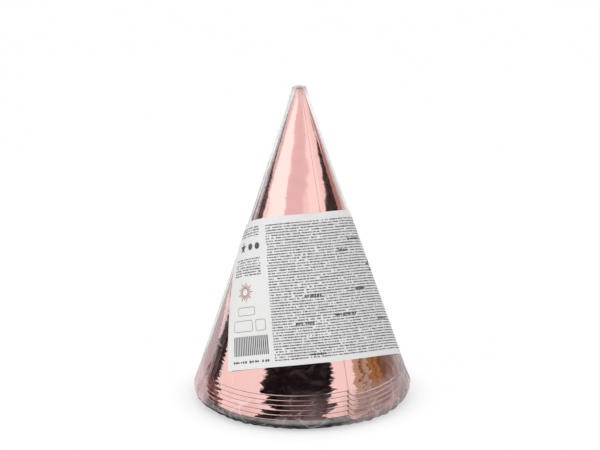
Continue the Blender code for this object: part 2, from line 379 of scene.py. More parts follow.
def board_material():
    """Uncoated white board, the card's inner face and the lap's free edge: soft, slightly warm, fibrous."""
    material, tree, spot = blank_material("white board back")
    fibre = add(tree, NOISE, to={"Vector": spot, "Scale": every(1.111), "Detail": 4.0})
    shade = uneven(tree, bpy.context.scene.pack_colours.board, fibre, 0.93, 1.0)
    bump = add(tree, BUMP, to={"Height": fibre, "Strength": 0.3, "Distance": 0.00005})
    shader = add(tree, PRINCIPLED, to={"Base Color": shade, "Roughness": 0.75, "Normal": bump})
    add(tree, "ShaderNodeOutputMaterial", shader)
    return material


def shaded_edge_material():
    """The card's cut edge: grey recycled core, coloured dark as painted shade of the gap under each rim, so
    that it reads as a thin dark line at each rim.
    """
    material, tree, spot = blank_material("die-cut card edge")
    fibre = add(tree, NOISE, to={"Vector": spot, "Scale": every(1.667), "Detail": 3.0})
    shade = uneven(tree, bpy.context.scene.pack_colours.edge, fibre, 0.6, 1.3)
    shader = add(tree, PRINCIPLED, to={"Base Color": shade, "Roughness": 0.7})
    add(tree, "ShaderNodeOutputMaterial", shader)
    return material


# Where the film changes on the bag: the measure it goes by, from where to where in metres, and between
# which two values. side is X, height is Z, and reach is the distance from the axis.
FILM_ZONES = {
    "sheen": ("side", -0.045, -0.025, 0.2, 0.7),  # the wall mirrors less where it turns away on the left
    "layers": ("height", 0.0048, 0.0030, 0.0, 1.0),  # film gathered under the rims, layer on layer, where painted shade darkens it
    "shade_by_side": ("side", 0.014, 0.030, 1.0, 0.4),  # and how strongly: full painted shade on the left, weaker on the right
    "band": ("reach", 0.041, 0.0465, 0.0, 1.0),  # and the foot inside the rims' edge is plain film
    "milk": ("side", -0.045, -0.030, 0.08, 0.28),  # how milky the crumpled patches are
    "skirt": ("height", 0.034, 0.012, 0.0, 1.0),  # film that hangs slack beside the rims
    "glow_by_side": ("side", -0.020, 0.030, 1.4, 0.8),  # painted glow of the foil in the skirt's haze, brighter on the left than on the right
    "cap": ("height", 0.1575, 0.1625, 0.0, 1.0),  # the folded tip, creased to a grey cap
    "slack": ("side", 0.020, 0.030, 0.0, 0.45),  # on the right the film hangs before the rims, and veils them
    "beyond": ("side", -0.0465, -0.0495, 0.0, 0.5),  # on the left it stands off beyond them, evenly hazy
}


def film_material(name, haze, wrinkle, tint):
    """Clear polypropylene film: see-through, with sharp white gloss on its wrinkles and a little haze, with
    painted shade under the rims and a painted pink glow of the foil in its skirt.
    """
    material, tree, spot = blank_material(name)
    colours = bpy.context.scene.pack_colours
    axis = add(tree, SPLIT, spot).outputs
    level = add(tree, VECTOR, spot, (1.0, 1.0, 0.0), operation="MULTIPLY")
    reach = add(tree, VECTOR, level, operation="LENGTH").outputs["Value"]
    measures = {"side": axis["X"], "height": axis["Z"], "reach": reach}
    zone = {key: add(tree, RANGE, measures[by], *ends) for key, (by, *ends) in FILM_ZONES.items()}
    cloud = add(tree, NOISE, to={"Vector": spot, "Scale": every(14.29), "Detail": 3.0})
    # Crinkles in clear film run as sharp ridges, 5 to 12 mm apart.
    bend = add(tree, NOISE, to={"Vector": spot, "Scale": every(16.67), "Detail": 2.0})
    bent = add(tree, VECTOR, bend.outputs["Color"], (0.012, 0.012, 0.012), spot, operation="MULTIPLY_ADD")
    ridge = add(
        tree, "ShaderNodeTexVoronoi", to={"Vector": bent, "Scale": every(10.53)}, feature="DISTANCE_TO_EDGE"
    )
    crease = add(tree, RANGE, ridge, 0.0, 0.3, interpolation_type="SMOOTHSTEP")
    bump = add(tree, BUMP, to={"Height": crease, "Strength": wrinkle, "Distance": 0.0005})
    # Gathered layers swallow light.
    # Painted shade: under the rims the film's see-through colour is darkened towards grey, mottled by the
    # creases and fullest on the left; the gathered layers darken it a little too.
    gathered = add(tree, MATH, zone["layers"], zone["shade_by_side"], operation="MULTIPLY")
    packed = add(tree, MATH, zone["band"], gathered, operation="MULTIPLY")
    painted_shade = add(tree, MATH, packed, add(tree, RANGE, crease, 0.0, 1.0, 0.8, 1.0), operation="MULTIPLY")
    thin = add(tree, RANGE, packed, 0.0, 1.0, 1.0, 0.15)
    seen = add(tree, MIX, to={0: painted_shade, 6: linear(tint), 7: linear("#616969")}, data_type="RGBA")
    clear = add(tree, "ShaderNodeBsdfTransparent", seen.outputs[2])
    # The haze is white; in the skirt and on the tip cap it is given a painted pink glow of the foil, brighter
    # on the left than on the right.
    haze_and_glow = add(tree, VECTOR, to={0: linear(colours.haze_and_glow)[:3], "Scale": zone["glow_by_side"]}, operation="SCALE")
    warm = add(tree, MATH, zone["skirt"], zone["band"], zone["cap"], operation="MULTIPLY_ADD")
    hue = add(tree, MIX, to={0: warm, 6: linear(colours.film), 7: haze_and_glow}, data_type="RGBA")
    milky = add(tree, "ShaderNodeBsdfDiffuse", hue.outputs[2])
    # It lies in patches on the crumpled film over the rims, in streaks on the right, and on the tip.
    patch = add(tree, RANGE, cloud, 0.42, 0.72)
    veil = add(tree, RANGE, cloud, 0.35, 0.75, haze * 0.3, haze * 1.7)
    low = add(tree, RANGE, axis["Z"], 0.022, 0.004, 0.0, zone["milk"])
    clouded = add(tree, MATH, low, patch, veil, operation="MULTIPLY_ADD")
    rims = add(tree, RANGE, axis["Z"], 0.021, 0.015, 0.0, zone["band"])
    streaked = add(tree, RANGE, bend, 0.3, 0.6, 0.55, 1.0)
    veiled = add(tree, MATH, rims, streaked, operation="MULTIPLY")
    drape = add(tree, MATH, zone["slack"], veiled, operation="MULTIPLY")
    clouded = add(tree, MATH, clouded, drape, operation="ADD")
    clouded = add(tree, MATH, zone["cap"], 0.45, clouded, operation="MULTIPLY_ADD")
    clouded = add(tree, MATH, zone["skirt"], zone["beyond"], clouded, operation="MULTIPLY_ADD")
    # It gathers where the eye looks along the film.
    facing = add(tree, "ShaderNodeLayerWeight", to={"Blend": 0.5, "Normal": bump}).outputs["Facing"]
    slant = add(tree, MATH, facing, 4.0, operation="POWER")
    edge_haze = add(tree, MATH, zone["skirt"], 0.35, 0.4, operation="MULTIPLY_ADD")
    thick = add(tree, MATH, slant, edge_haze, clouded, operation="MULTIPLY_ADD")
    thick = add(tree, MATH, thick, thin, operation="MULTIPLY")
    body = add(tree, MIX_SHADER, thick, clear, milky)
    # One thin sheet mirrors alike on both faces: a percent or so head on, most of it at a glancing angle.
    glance = add(tree, MATH, facing, 5.0, operation="POWER")
    mirror = add(tree, MATH, glance, zone["sheen"], 0.012, operation="MULTIPLY_ADD")
    # The ridges of the creases glint.
    sharp = add(tree, RANGE, ridge, 0.0, 0.05, 0.4, 0.0)
    crumpled = add(tree, MATH, zone["skirt"], patch, operation="MULTIPLY")
    glints = add(tree, MATH, sharp, crumpled, operation="MULTIPLY")
    mirror = add(tree, MATH, mirror, thin, glints, operation="MULTIPLY_ADD")
    shiny = {"Color": linear("#FFFFFF"), "Roughness": 0.1, "Normal": bump}
    gloss = add(tree, "ShaderNodeBsdfGlossy", to=shiny)
    add(tree, "ShaderNodeOutputMaterial", add(tree, MIX_SHADER, mirror, body, gloss))
    return material


def paper_material():
    """Semi-gloss coated label paper: nearly white, flat, with the faintest waviness."""
    material, tree, spot = blank_material("coated label paper")
    wave = add(tree, NOISE, to={"Vector": spot, "Scale": every(16.67), "Detail": 2.0})
    grain = add(tree, NOISE, to={"Vector": spot, "Scale": every(0.6667), "Detail": 3.0})
    shade = uneven(tree, bpy.context.scene.pack_colours.paper, grain, 0.96, 1.0)
    bump = add(tree, BUMP, to={"Height": wave, "Strength": 0.6, "Distance": 0.0004})
    shader = add(tree, PRINCIPLED, to={"Base Color": shade, "Roughness": 0.45, "Normal": bump})
    add(tree, "ShaderNodeOutputMaterial", shader)
    return material


def ink_material(name, code):
    """Offset printing ink on the coated paper: dark, slightly uneven, as glossy as the paper."""
    material, tree, spot = blank_material(name)
    wear = add(tree, NOISE, to={"Vector": spot, "Scale": every(1.429), "Detail": 2.0})
    shader = add(tree, PRINCIPLED, to={"Base Color": uneven(tree, code, wear, 0.75, 1.25), "Roughness": 0.5})
    add(tree, "ShaderNodeOutputMaterial", shader)
    return material


def steel_material():
    """Tinned steel strip, pressed into the elastic's end bars: bright, with fine rolling marks."""
    material, tree, spot = blank_material("tinned steel end bar")
    marks = add(tree, NOISE, to={"Vector": spot, "Scale": every(0.4), "Detail": 2.0})
    rough = add(tree, RANGE, marks, 0.0, 1.0, 0.18, 0.34)
    tint = linear(bpy.context.scene.pack_colours.steel)
    shader = add(tree, PRINCIPLED, to={"Base Color": tint, "Metallic": 1.0, "Roughness": rough})
    add(tree, "ShaderNodeOutputMaterial", shader)
    return material


def tape_material():
    """Double-sided tape: translucent cream acrylic adhesive, seen only at the lap's edges."""
    material, tree, spot = blank_material("acrylic seam tape")
    blotch = add(tree, NOISE, to={"Vector": spot, "Scale": every(2.5)})
    rough = add(tree, RANGE, blotch, 0.0, 1.0, 0.4, 0.6)
    tint = linear(bpy.context.scene.pack_colours.tape)
    add(tree, "ShaderNodeOutputMaterial", add(tree, PRINCIPLED, to={"Base Color": tint, "Roughness": rough}))
    return material


# ---- Geometry Nodes trees ----


def on_cone(tree, slant, turn, lift, sine, apex):
    """The place at a slant distance from the apex, an angle from the front and a lift off the cone."""
    cosine = add(tree, MATH, add(tree, MATH, sine, operation="ARCSINE"), operation="COSINE")
    out = add(tree, MATH, lift, cosine, operation="MULTIPLY")
    radius = add(tree, MATH, slant, sine, out, operation="MULTIPLY_ADD")
    x = add(tree, MATH, radius, add(tree, MATH, turn, operation="SINE"), operation="MULTIPLY")
    back = add(tree, MATH, radius, add(tree, MATH, turn, operation="COSINE"), operation="MULTIPLY")
    y = add(tree, MATH, back, -1.0, operation="MULTIPLY")
    fall = add(tree, MATH, slant, cosine, operation="MULTIPLY")
    drop = add(tree, MATH, apex, fall, operation="SUBTRACT")
    z = add(tree, MATH, lift, sine, drop, operation="MULTIPLY_ADD")
    return add(tree, COMBINE, x, y, z)


def roll_tree():
    """Rolls a flat card blank into a spiral cone: lap, rounded corner and dipping rim from named sizes."""
    sockets = {
        "Slant": 0.156,
        "Radius": 0.05,
        "Tip": 0.004,
        "Ply step": 0.0004,
        "Seam angle": 0.5,
        "Lap angle": 0.2,
        "Dip": 0.003,
        "Dip power": 2.8,
        "Corner": 0.003,
        "Apex": 0.15,
        "Columns": CARD_COLUMNS,
        "Rows": CARD_ROWS,
        "Rim band": 0.0012,
        "Rim bend": 0.00016,
        "Press": 0.00012,
        "Press angle": 0.08,
        "Hat number": 1.0,
        "Material": "NodeSocketMaterial",
    }
    tree, size = tree_with("Roll card blank", sockets)
    blank = add(tree, GRID, 1.0, 1.0, size["Columns"], size["Rows"])
    flat = add(tree, SPLIT, add(tree, "GeometryNodeInputPosition")).outputs
    across = add(tree, MATH, flat["X"], 0.5, operation="ADD")
    down = add(tree, MATH, 0.5, flat["Y"], operation="SUBTRACT")
    # The first columns lie within the rounded corner, closest at the free edge.
    near = add(tree, RANGE, across, 0.0, CORNER_SHARE, 0.0, pi / 2)
    bend = add(tree, MATH, 1.0, add(tree, MATH, near, operation="COSINE"), operation="SUBTRACT")
    corner_turn = add(tree, MATH, size["Corner"], size["Radius"], operation="DIVIDE")
    total = add(tree, MATH, size["Lap angle"], 2 * pi, operation="ADD")
    rest = add(tree, MATH, total, corner_turn, operation="SUBTRACT")
    far = add(tree, RANGE, across, CORNER_SHARE, 1.0)
    first = add(tree, MATH, bend, corner_turn, operation="MULTIPLY")
    turn = add(tree, MATH, far, rest, first, operation="MULTIPLY_ADD")
    share = add(tree, MATH, turn, 2 * pi, operation="DIVIDE")
    once = add(tree, MATH, share, 1.0, operation="MINIMUM")
    # The rim hangs lower at the outer ply's free edge, and takes the dip up on its way round.
    taken = add(tree, MATH, once, size["Dip power"], operation="POWER")
    left = add(tree, MATH, 1.0, taken, operation="SUBTRACT")
    hang = add(tree, MATH, size["Dip"], left, operation="MULTIPLY")
    # The corner's arc cuts it back.
    run = add(tree, MATH, turn, size["Radius"], operation="MULTIPLY")
    inside = add(tree, MATH, size["Corner"], run, operation="SUBTRACT")
    inside = add(tree, MATH, inside, 0.0, operation="MAXIMUM")
    square = add(tree, MATH, inside, inside, operation="MULTIPLY")
    whole = add(tree, MATH, size["Corner"], size["Corner"], operation="MULTIPLY")
    remains = add(tree, MATH, whole, square, operation="SUBTRACT")
    cut = add(tree, MATH, size["Corner"], add(tree, MATH, remains, operation="SQRT"), operation="SUBTRACT")
    longer = add(tree, MATH, hang, cut, operation="SUBTRACT")
    rim = add(tree, MATH, size["Slant"], longer, operation="ADD")
    # Most of the rows run from the tip to the band that the die bends in at the rim, the rest lie within it.
    band = add(tree, MATH, rim, size["Rim band"], operation="SUBTRACT")
    above = add(tree, RANGE, down, 0.0, UPPER_SHARE, size["Tip"], band)
    within = add(tree, RANGE, down, UPPER_SHARE, 1.0)
    slant = add(tree, MATH, within, size["Rim band"], above, operation="MULTIPLY_ADD")
    inward = add(tree, MATH, 1.0, share, operation="SUBTRACT")
    ply = add(tree, MATH, size["Ply step"], inward, operation="MULTIPLY")
    # The bend fades out where the inner ply goes under the lap.
    late = add(tree, MATH, once, 30.0, operation="POWER")
    early = add(tree, MATH, 1.0, late, operation="SUBTRACT")
    fade = add(tree, MATH, size["Rim bend"], early, operation="MULTIPLY")
    curve = add(tree, MATH, within, within, operation="MULTIPLY")
    # The lap's free edge is pressed down on the ply beneath.
    pressed = add(
        tree, RANGE, turn, 0.0, size["Press angle"], size["Press"], 0.0, interpolation_type="SMOOTHSTEP"
    )
    lying = add(tree, MATH, ply, pressed, operation="SUBTRACT")
    lift = add(tree, MATH, lying, add(tree, MATH, curve, fade, operation="MULTIPLY"), operation="SUBTRACT")
    seam = add(tree, MATH, size["Seam angle"], turn, operation="ADD")
    sine = add(tree, MATH, size["Radius"], size["Slant"], operation="DIVIDE")
    where = on_cone(tree, slant, seam, lift, sine, size["Apex"])
    rolled = add(tree, "GeometryNodeSetPosition", to={"Geometry": blank, "Position": where})
    mark = {"Geometry": rolled, "Name": "hat_number", "Value": size["Hat number"]}
    return end_tree(tree, add(tree, "GeometryNodeStoreNamedAttribute", to=mark), size["Material"])


def wrap_tree():
    """Wraps flat geometry, drawn in the label's own plane, round the cone; its own Z becomes lift."""
    sockets = {
        "Flat": "NodeSocketGeometry",
        "Corner X": 0.0,
        "Corner Y": -0.1,
        "Tilt": 0.0,
        "Sine": 0.3,
        "Apex": 0.16,
        "Lift": 0.0,
        "Material": "NodeSocketMaterial",
    }
    tree, size = tree_with("Wrap on cone", sockets)
    flat = add(tree, "GeometryNodeInputPosition")
    tilt = {"Vector": flat, "Angle": size["Tilt"]}
    turned = add(tree, "ShaderNodeVectorRotate", to=tilt, rotation_type="Z_AXIS")
    corner = add(tree, COMBINE, size["Corner X"], size["Corner Y"])
    spot = add(tree, SPLIT, add(tree, VECTOR, turned, corner, operation="ADD")).outputs
    square = add(tree, MATH, spot["Y"], spot["Y"], operation="MULTIPLY")
    squares = add(tree, MATH, spot["X"], spot["X"], square, operation="MULTIPLY_ADD")
    slant = add(tree, MATH, squares, operation="SQRT")
    down = add(tree, MATH, spot["Y"], -1.0, operation="MULTIPLY")
    fan = add(tree, MATH, spot["X"], down, operation="ARCTAN2")
    turn = add(tree, MATH, fan, size["Sine"], operation="DIVIDE")
    lift = add(tree, MATH, size["Lift"], spot["Z"], operation="ADD")
    where = on_cone(tree, slant, turn, lift, size["Sine"], size["Apex"])
    wrapped = add(tree, "GeometryNodeSetPosition", to={"Geometry": size["Flat"], "Position": where})
    return end_tree(tree, wrapped, size["Material"])


def rules_tree():
    """Rows of short printed strokes of uneven length and place, which read as small print from afar."""
    sockets = {
        "Width": 0.09,
        "Height": 0.07,
        "Strokes": 100,
        "Rows": 50,
        "Thickness": 0.0006,
        "Shortest": 0.4,
        "Longest": 0.95,
        "Share": 1.0,
        "Seed": 1,
        "Material": "NodeSocketMaterial",
    }
    tree, size = tree_with("Printed strokes", sockets)
    spots = add(tree, GRID, size["Width"], size["Height"], size["Strokes"], size["Rows"])
    # Each of a stroke's four random numbers has its own seed.
    drawn = {}
    for name, least, most, shift in (
        ("slip", -1.0, 1.0, 0),
        ("keep", 0.0, 1.0, 11),
        ("reach", size["Shortest"], size["Longest"], 23),
        ("weight", 0.7, 1.25, 37),
    ):
        seed = add(tree, "FunctionNodeIntegerMath", size["Seed"], shift, operation="ADD")
        draw = add(tree, "FunctionNodeRandomValue", to={2: least, 3: most, "Seed": seed}, data_type="FLOAT")
        drawn[name] = draw.outputs[1]
    cell = add(tree, MATH, size["Width"], size["Strokes"], operation="DIVIDE")
    quarter = add(tree, MATH, cell, 0.25, operation="MULTIPLY")
    aside = add(tree, COMBINE, add(tree, MATH, drawn["slip"], quarter, operation="MULTIPLY"))
    strewn = add(tree, "GeometryNodeSetPosition", to={"Geometry": spots, "Offset": aside})
    chosen = add(tree, MATH, drawn["keep"], size["Share"], operation="LESS_THAN")
    long = add(tree, MATH, drawn["reach"], cell, operation="MULTIPLY")
    tall = add(tree, MATH, size["Thickness"], drawn["weight"], operation="MULTIPLY")
    stroke = add(tree, GRID, 1.0, 1.0, 3, 2)
    scale = add(tree, COMBINE, long, tall, 1.0)
    put = {"Points": strewn, "Selection": chosen, "Instance": stroke, "Scale": scale}
    return end_tree(tree, add(tree, "GeometryNodeInstanceOnPoints", to=put), size["Material"])


# ---- The hats ----

# A face looks out of or into the cone where it is this square to it, and lies on the lap's free edge where
# it looks this much sideways. The rest are the rim's and the tip's cut edges.
SQUARE_ON = 0.82
SIDEWAYS = 0.7


class PACK_OT_hats(bpy.types.Operator):
    """Roll the foil card hats and nest them"""

    bl_idname = "pack.hats"
    bl_label = "Hats"

    def execute(self, context):
        sizes = context.scene.hat_sizes
        sine, cosine, inner, step = cone_of(sizes)
        foil, board, edge = foil_material(), board_material(), shaded_edge_material()
        tree = roll_tree()
        for number in range(1, sizes.count + 1):
            values = {
                "Slant": sizes.slant,
                "Radius": sizes.radius,
                "Tip": sizes.tip,
                "Ply step": sizes.card + sizes.lap_gap,
                "Seam angle": sizes.seam_angle,
                "Lap angle": sizes.lap_angle,
                "Dip": sizes.dip,
                "Dip power": sizes.dip_power,
                "Corner": sizes.corner,
                "Apex": inner + (sizes.count - number) * step,
                "Hat number": float(number),
                "Material": foil,
            }
            hat = made_by(tree, f"foil_hat_{number}", values, thickness=sizes.card)
            dress(hat, foil, board, edge)
            self.crush_rim(hat.data, sizes.crush, sine, cosine)
            self.sort_faces(hat.data, sine, cosine)
            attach(hat, f"hat_{number}_body")
            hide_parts(f"hat_{number}")
        return {"FINISHED"}

    def crush_rim(self, mesh, crush, sine, cosine):
        """The die crushes the foil side's edge: the outer face ends a little higher than the inner one."""
        points = np.empty(len(mesh.vertices) * 3, np.float32)
        mesh.vertices.foreach_get("co", points)
        points = points.reshape(-1, 3)
        half = len(points) // 2
        rims = (slice(0, half, CARD_ROWS), slice(half, None, CARD_ROWS))
        outer = max(rims, key=lambda part: np.hypot(*points[part][:, :2].T).mean())
        rim = points[outer]
        away = rim[:, :2] / np.linalg.norm(rim[:, :2], axis=1, keepdims=True)
        points[outer] = rim - crush * np.column_stack([away * sine, np.full(len(rim), -cosine)])
        mesh.vertices.foreach_set("co", points.ravel())
        mesh.update()

    def sort_faces(self, mesh, sine, cosine):
        """Foil on the outer face, board on the inner one and the lap's free edge, dark core at the rims,
        whose darkness is painted shade of the gap there.
        """
        count = len(mesh.polygons)
        normals, centres = np.empty(count * 3, np.float32), np.empty(count * 3, np.float32)
        mesh.polygons.foreach_get("normal", normals)
        mesh.polygons.foreach_get("center", centres)
        normals, centres = normals.reshape(-1, 3), centres.reshape(-1, 3)
        away = centres[:, :2] / np.linalg.norm(centres[:, :2], axis=1, keepdims=True)
        facing = (normals[:, :2] * away).sum(1) * cosine + normals[:, 2] * sine
        sideways = np.abs(away[:, 0] * normals[:, 1] - away[:, 1] * normals[:, 0])
        white = (facing < -SQUARE_ON) | (sideways > SIDEWAYS)
        slot = np.where(facing > SQUARE_ON, 0, np.where(white, 1, 2))
        mesh.polygons.foreach_set("material_index", slot.astype(np.int32))
        mesh.shade_smooth()
        mesh.set_sharp_from_angle(angle=SHARP)
        mesh.update()


class PACK_OT_fastenings(bpy.types.Operator):
    """Finish the seam tapes and the elastic end bars, whose CAD shapes stay"""

    bl_idname = "pack.fastenings"
    bl_label = "Fastenings"

    def execute(self, context):
        steel, tape = steel_material(), tape_material()
        for number in range(1, context.scene.hat_sizes.count + 1):
            dress(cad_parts[f"seam_tape_{number}"], tape)
            dress(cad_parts[f"bar_left_{number}"], steel)
            dress(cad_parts[f"bar_right_{number}"], steel)
        return {"FINISHED"}


# ---- The bag ----

# How far the film stands off its cone in soft folds all over, in tight ones low down, in gathers at the lip,
# where it hangs slack low on the right, and at its flattened tip. No film hangs below LOWEST.
SOFT_FOLDS = 0.00022
TIGHT_FOLDS = 0.00016
LIP_GATHERS = 0.00022
RIGHT_SLACK = 0.0006
TIP_FOLD = 0.0007
LOWEST = 0.0002

# Where those folds lie: how far up from the lip the tight ones and the gathers reach, and over what length
# the gathers grow; the slack's angle, spread, start and growth; the tip fold's reach, evenness and growth.
TIGHT_REACH = 0.028
GATHER_REACH = 0.010
GATHER_RUN = 0.012
SLACK_TURN = radians(62)
SLACK_SPREAD = 0.5
SLACK_FROM = 0.145
SLACK_RUN = 0.02
TIP_REACH = 0.012
TIP_EVENNESS = 1.2
TIP_RUN = 0.004

# The closed tip: the shares of its radius where it has points, how much it is domed, and its shoulder.
TIP_SHARES = (0.0, 0.35, 0.7, 0.92)
TIP_DOME = 0.0008
TIP_SHOULDER = 0.0012

# The weld's lift off the wall, and how much higher its middle is. It ends short of the tip and the lip, and
# near the tip it turns no faster than at LEAST_RADIUS.
WELD_LIFT = 0.00008
WELD_CROWN = 0.00022
WELD_ROWS = slice(8, -4)
LEAST_RADIUS = 0.004

# The foot's pleats: their height at the lip, how much they grow towards the mouth, how far they rise there,
# how much they sway in and out, and how unevenly they lie.
FOOT_CLEARANCE = 0.00005
FOOT_INSET = 0.0001
PLEAT_HEIGHT = 0.0004
PLEAT_GROWTH = 0.0010
PLEAT_RISE = 0.0003
PLEAT_SWAY = 0.0012
PLEAT_WANDER = 0.25


def random_waves(seed, count, low, high):
    """Seeded random waves: frequency, phase and weight, for soft irregular folds."""
    rng = np.random.default_rng(seed)
    return [
        (int(rng.integers(low, high)), rng.uniform(0, 2 * pi), rng.uniform(0.4, 1.0)) for _ in range(count)
    ]


def folds(turn, along, waves, drift=1.0):
    """Sum of waves round the cone, each drifting with the distance along it, scaled to about -1 to 1."""
    total = 0
    for i, (frequency, phase, weight) in enumerate(waves):
        swing = drift * along * (1 + 0.3 * frequency / 20) * (-1) ** i
        total = total + weight * np.sin(frequency * turn + phase + swing)
    return total / sum(weight for _, _, weight in waves) * 1.6


class PACK_OT_bag(bpy.types.Operator):
    """Blow the clear film bag over the hats, with its folds, weld, folded tip and gathered foot"""

    bl_idname = "pack.bag"
    bl_label = "Clear bag"

    def execute(self, context):
        hats, bag = context.scene.hat_sizes, context.scene.bag_sizes
        rows, end = self.profile(hats, bag)
        clear = film_material("clear polypropylene film", 0.004, 0.35, "#FDFDFD")
        gathered = film_material("gathered polypropylene film", 0.05, 1.0, "#E7EAE7")
        welded = film_material("welded polypropylene film", 0.2, 0.6, "#EAEAEA")
        wall = linked("bag_cone", self.wall(rows, end))
        dress(wall, clear)
        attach(wall, "bag_body")
        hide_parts("bag_film")
        weld = linked("bag_weld", self.weld(bag, rows, end))
        dress(weld, welded)
        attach(weld, "bag_body")
        foot = linked("bag_foot_pleats", self.foot(bag))
        dress(foot, gathered)
        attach(foot, "bag_foot")
        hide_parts("bag_base")
        return {"FINISHED"}

    def profile(self, hats, bag):
        """The wall's half section from the tip to the lip, and the slant at which it starts to curl in.

        Each row is a radius, a height, the outward normal's two parts and a slant distance.
        """
        sine, cosine, _, _ = cone_of(hats)
        apex = apex_over(hats, bag.standoff)
        rows = []
        tip_radius = (apex - bag.tip_height) * sine / cosine
        for share in TIP_SHARES:
            rows.append((tip_radius * share, bag.tip_height - TIP_DOME * share**3, 0.0, 1.0, 0.0))
        curl = ((apex - bag.lip_height) * sine / cosine - bag.lip_radius) * cosine / (1 + sine)
        centre = bag.lip_height + curl
        end = (bag.lip_radius + curl * cosine) / sine
        start = tip_radius / sine + TIP_SHOULDER
        for slant in np.linspace(start, end, WALL_ROWS):
            rows.append((slant * sine, apex - slant * cosine, cosine, sine, slant))
        alpha = asin(sine)
        for k in range(1, CURL_ROWS + 1):
            turn = alpha - k * (alpha + pi / 2) / CURL_ROWS
            out, up = cos(turn), sin(turn)
            slant = end + curl * (alpha - turn)
            rows.append((bag.lip_radius + curl * out, centre + curl * up, out, up, slant))
        return np.array(rows), end

    def wrinkles(self, turn, slant, end):
        """How far the film stands off its smooth cone."""
        low = np.clip((slant - (end - TIGHT_REACH)) / TIGHT_REACH, 0, 1) ** 2
        bottom = np.clip((slant - (end - GATHER_REACH)) / GATHER_RUN, 0, 1)
        soft = folds(turn, slant * 60, random_waves(3, 7, 3, 11))
        tight = folds(turn, slant * 140, random_waves(5, 9, 24, 60))
        gather = folds(turn, slant * 40, random_waves(8, 9, 40, 95))
        stand = SOFT_FOLDS * (1 + soft) + TIGHT_FOLDS * low * (1 + tight)
        stand += LIP_GATHERS * bottom * (1 + gather)
        slack = np.clip((slant - SLACK_FROM) / SLACK_RUN, 0, 1)
        right = np.exp(-(((turn - SLACK_TURN) / SLACK_SPREAD) ** 2)) * slack
        stand += right * RIGHT_SLACK * (1 + tight)
        # The tip is flattened, wider from side to side than from front to back.
        tip = np.exp(-slant / TIP_REACH)
        stand += TIP_FOLD * tip * (TIP_EVENNESS - np.cos(2 * turn)) * np.clip(slant / TIP_RUN, 0, 1)
        return stand

    def wall(self, rows, end):
        """The cone of film, closed at its tip and curled in at its lip."""
        turns = np.linspace(0, 2 * pi, WALL_COLUMNS, endpoint=False)
        turn = np.repeat(turns[None], len(rows), 0)
        radius, height, out, up, slant = (rows[:, i : i + 1] for i in range(5))
        stand = self.wrinkles(np.where(turn > pi, turn - 2 * pi, turn), slant, end)
        stand[: len(TIP_SHARES)] = 0
        points = around(radius + stand * out, turn, np.maximum(height + stand * up, LOWEST))
        bm = bmesh.new()
        bm.from_mesh(mesh_from("bag_cone", points, grid_faces(len(rows), WALL_COLUMNS, closed=True)))
        bmesh.ops.remove_doubles(bm, verts=bm.verts, dist=1e-6)
        return taken_from(bm, "bag_cone")

    def weld(self, bag, rows, end):
        """The welded side seam: a narrow doubled strip that stands a little off the wall."""
        rows = rows[WELD_ROWS]
        radius, height, out, up, slant = (rows[:, i : i + 1] for i in range(5))
        side = np.linspace(-1, 1, WELD_COLUMNS)[None]
        turn = bag.weld_angle + side * bag.weld_width / 2 / np.maximum(radius, LEAST_RADIUS)
        stand = self.wrinkles(turn, slant, end) + WELD_LIFT + WELD_CROWN * (1 - side**2)
        points = around(radius + stand * out, turn, height + stand * up)
        return mesh_from("bag_weld", points, grid_faces(len(rows), WELD_COLUMNS))

    def foot(self, bag):
        """The gathered foot: sharp uneven pleats that deepen towards the mouth, standing on the ground."""
        columns = FOOT_COLUMNS_PER_PLEAT * bag.pleats
        turns = np.linspace(0, 2 * pi, columns, endpoint=False)
        turn, share = np.meshgrid(turns, np.linspace(0, 1, FOOT_RINGS))
        wander = folds(turn, share, random_waves(21, 6, 3, 15), 0.8) * PLEAT_WANDER
        saw = np.abs(((turn / (2 * pi) * bag.pleats + wander) % 1) * 2 - 1)
        height = FOOT_CLEARANCE + (PLEAT_HEIGHT + PLEAT_GROWTH * share) * saw + PLEAT_RISE * share
        edge = bag.lip_radius - FOOT_INSET
        radius = edge + (bag.mouth_radius - edge) * share + PLEAT_SWAY * share * (saw - 0.5)
        faces = grid_faces(FOOT_RINGS, columns, closed=True)[:, ::-1]
        return mesh_from("bag_foot_pleats", around(radius, turn, height), faces)


# ---- The label ----

# The paper lies on the film's folds, which never stand further off than this under it.
UNDER_LABEL = 0.00052

INK_LIFT = 0.00005
OVERPRINT = 0.00002

# A block of strokes has a left, bottom, width and height, the strokes' pitch, the rows, their thickness, the
# shortest and the longest stroke as shares of the pitch, and the share of the strokes that is kept.
COLUMN_BLOCKS = (
    (0.0055, 0.0668, 0.0170, 0.0040, 0.0009, 4, 0.00060, 0.5, 1.0, 0.9),
    (0.0045, 0.0470, 0.0190, 0.0080, 0.0009, 7, 0.00060, 0.5, 1.0, 0.9),
    (0.0045, 0.0036, 0.0205, 0.0, 0.0013, 1, 0.00100, 0.55, 0.9, 0.95),
)
# The large grey block's margins and strokes, and the darker runs in it, which are printed over the others.
BLOCK_MARGIN = 0.0032
BLOCK_RIGHT = 0.003
GREY_PITCH = 0.0008
GREY_THICKNESS = 0.00056
GREY_SHARES = (0.6, 1.0, 0.92)
DARK_RUNS = 11
DARK_LENGTHS = (0.006, 0.012)
DARK_STROKES = (0.0009, 1, 0.00105, 0.7, 1.15, 0.95)
DARK_FROM = 0.00075

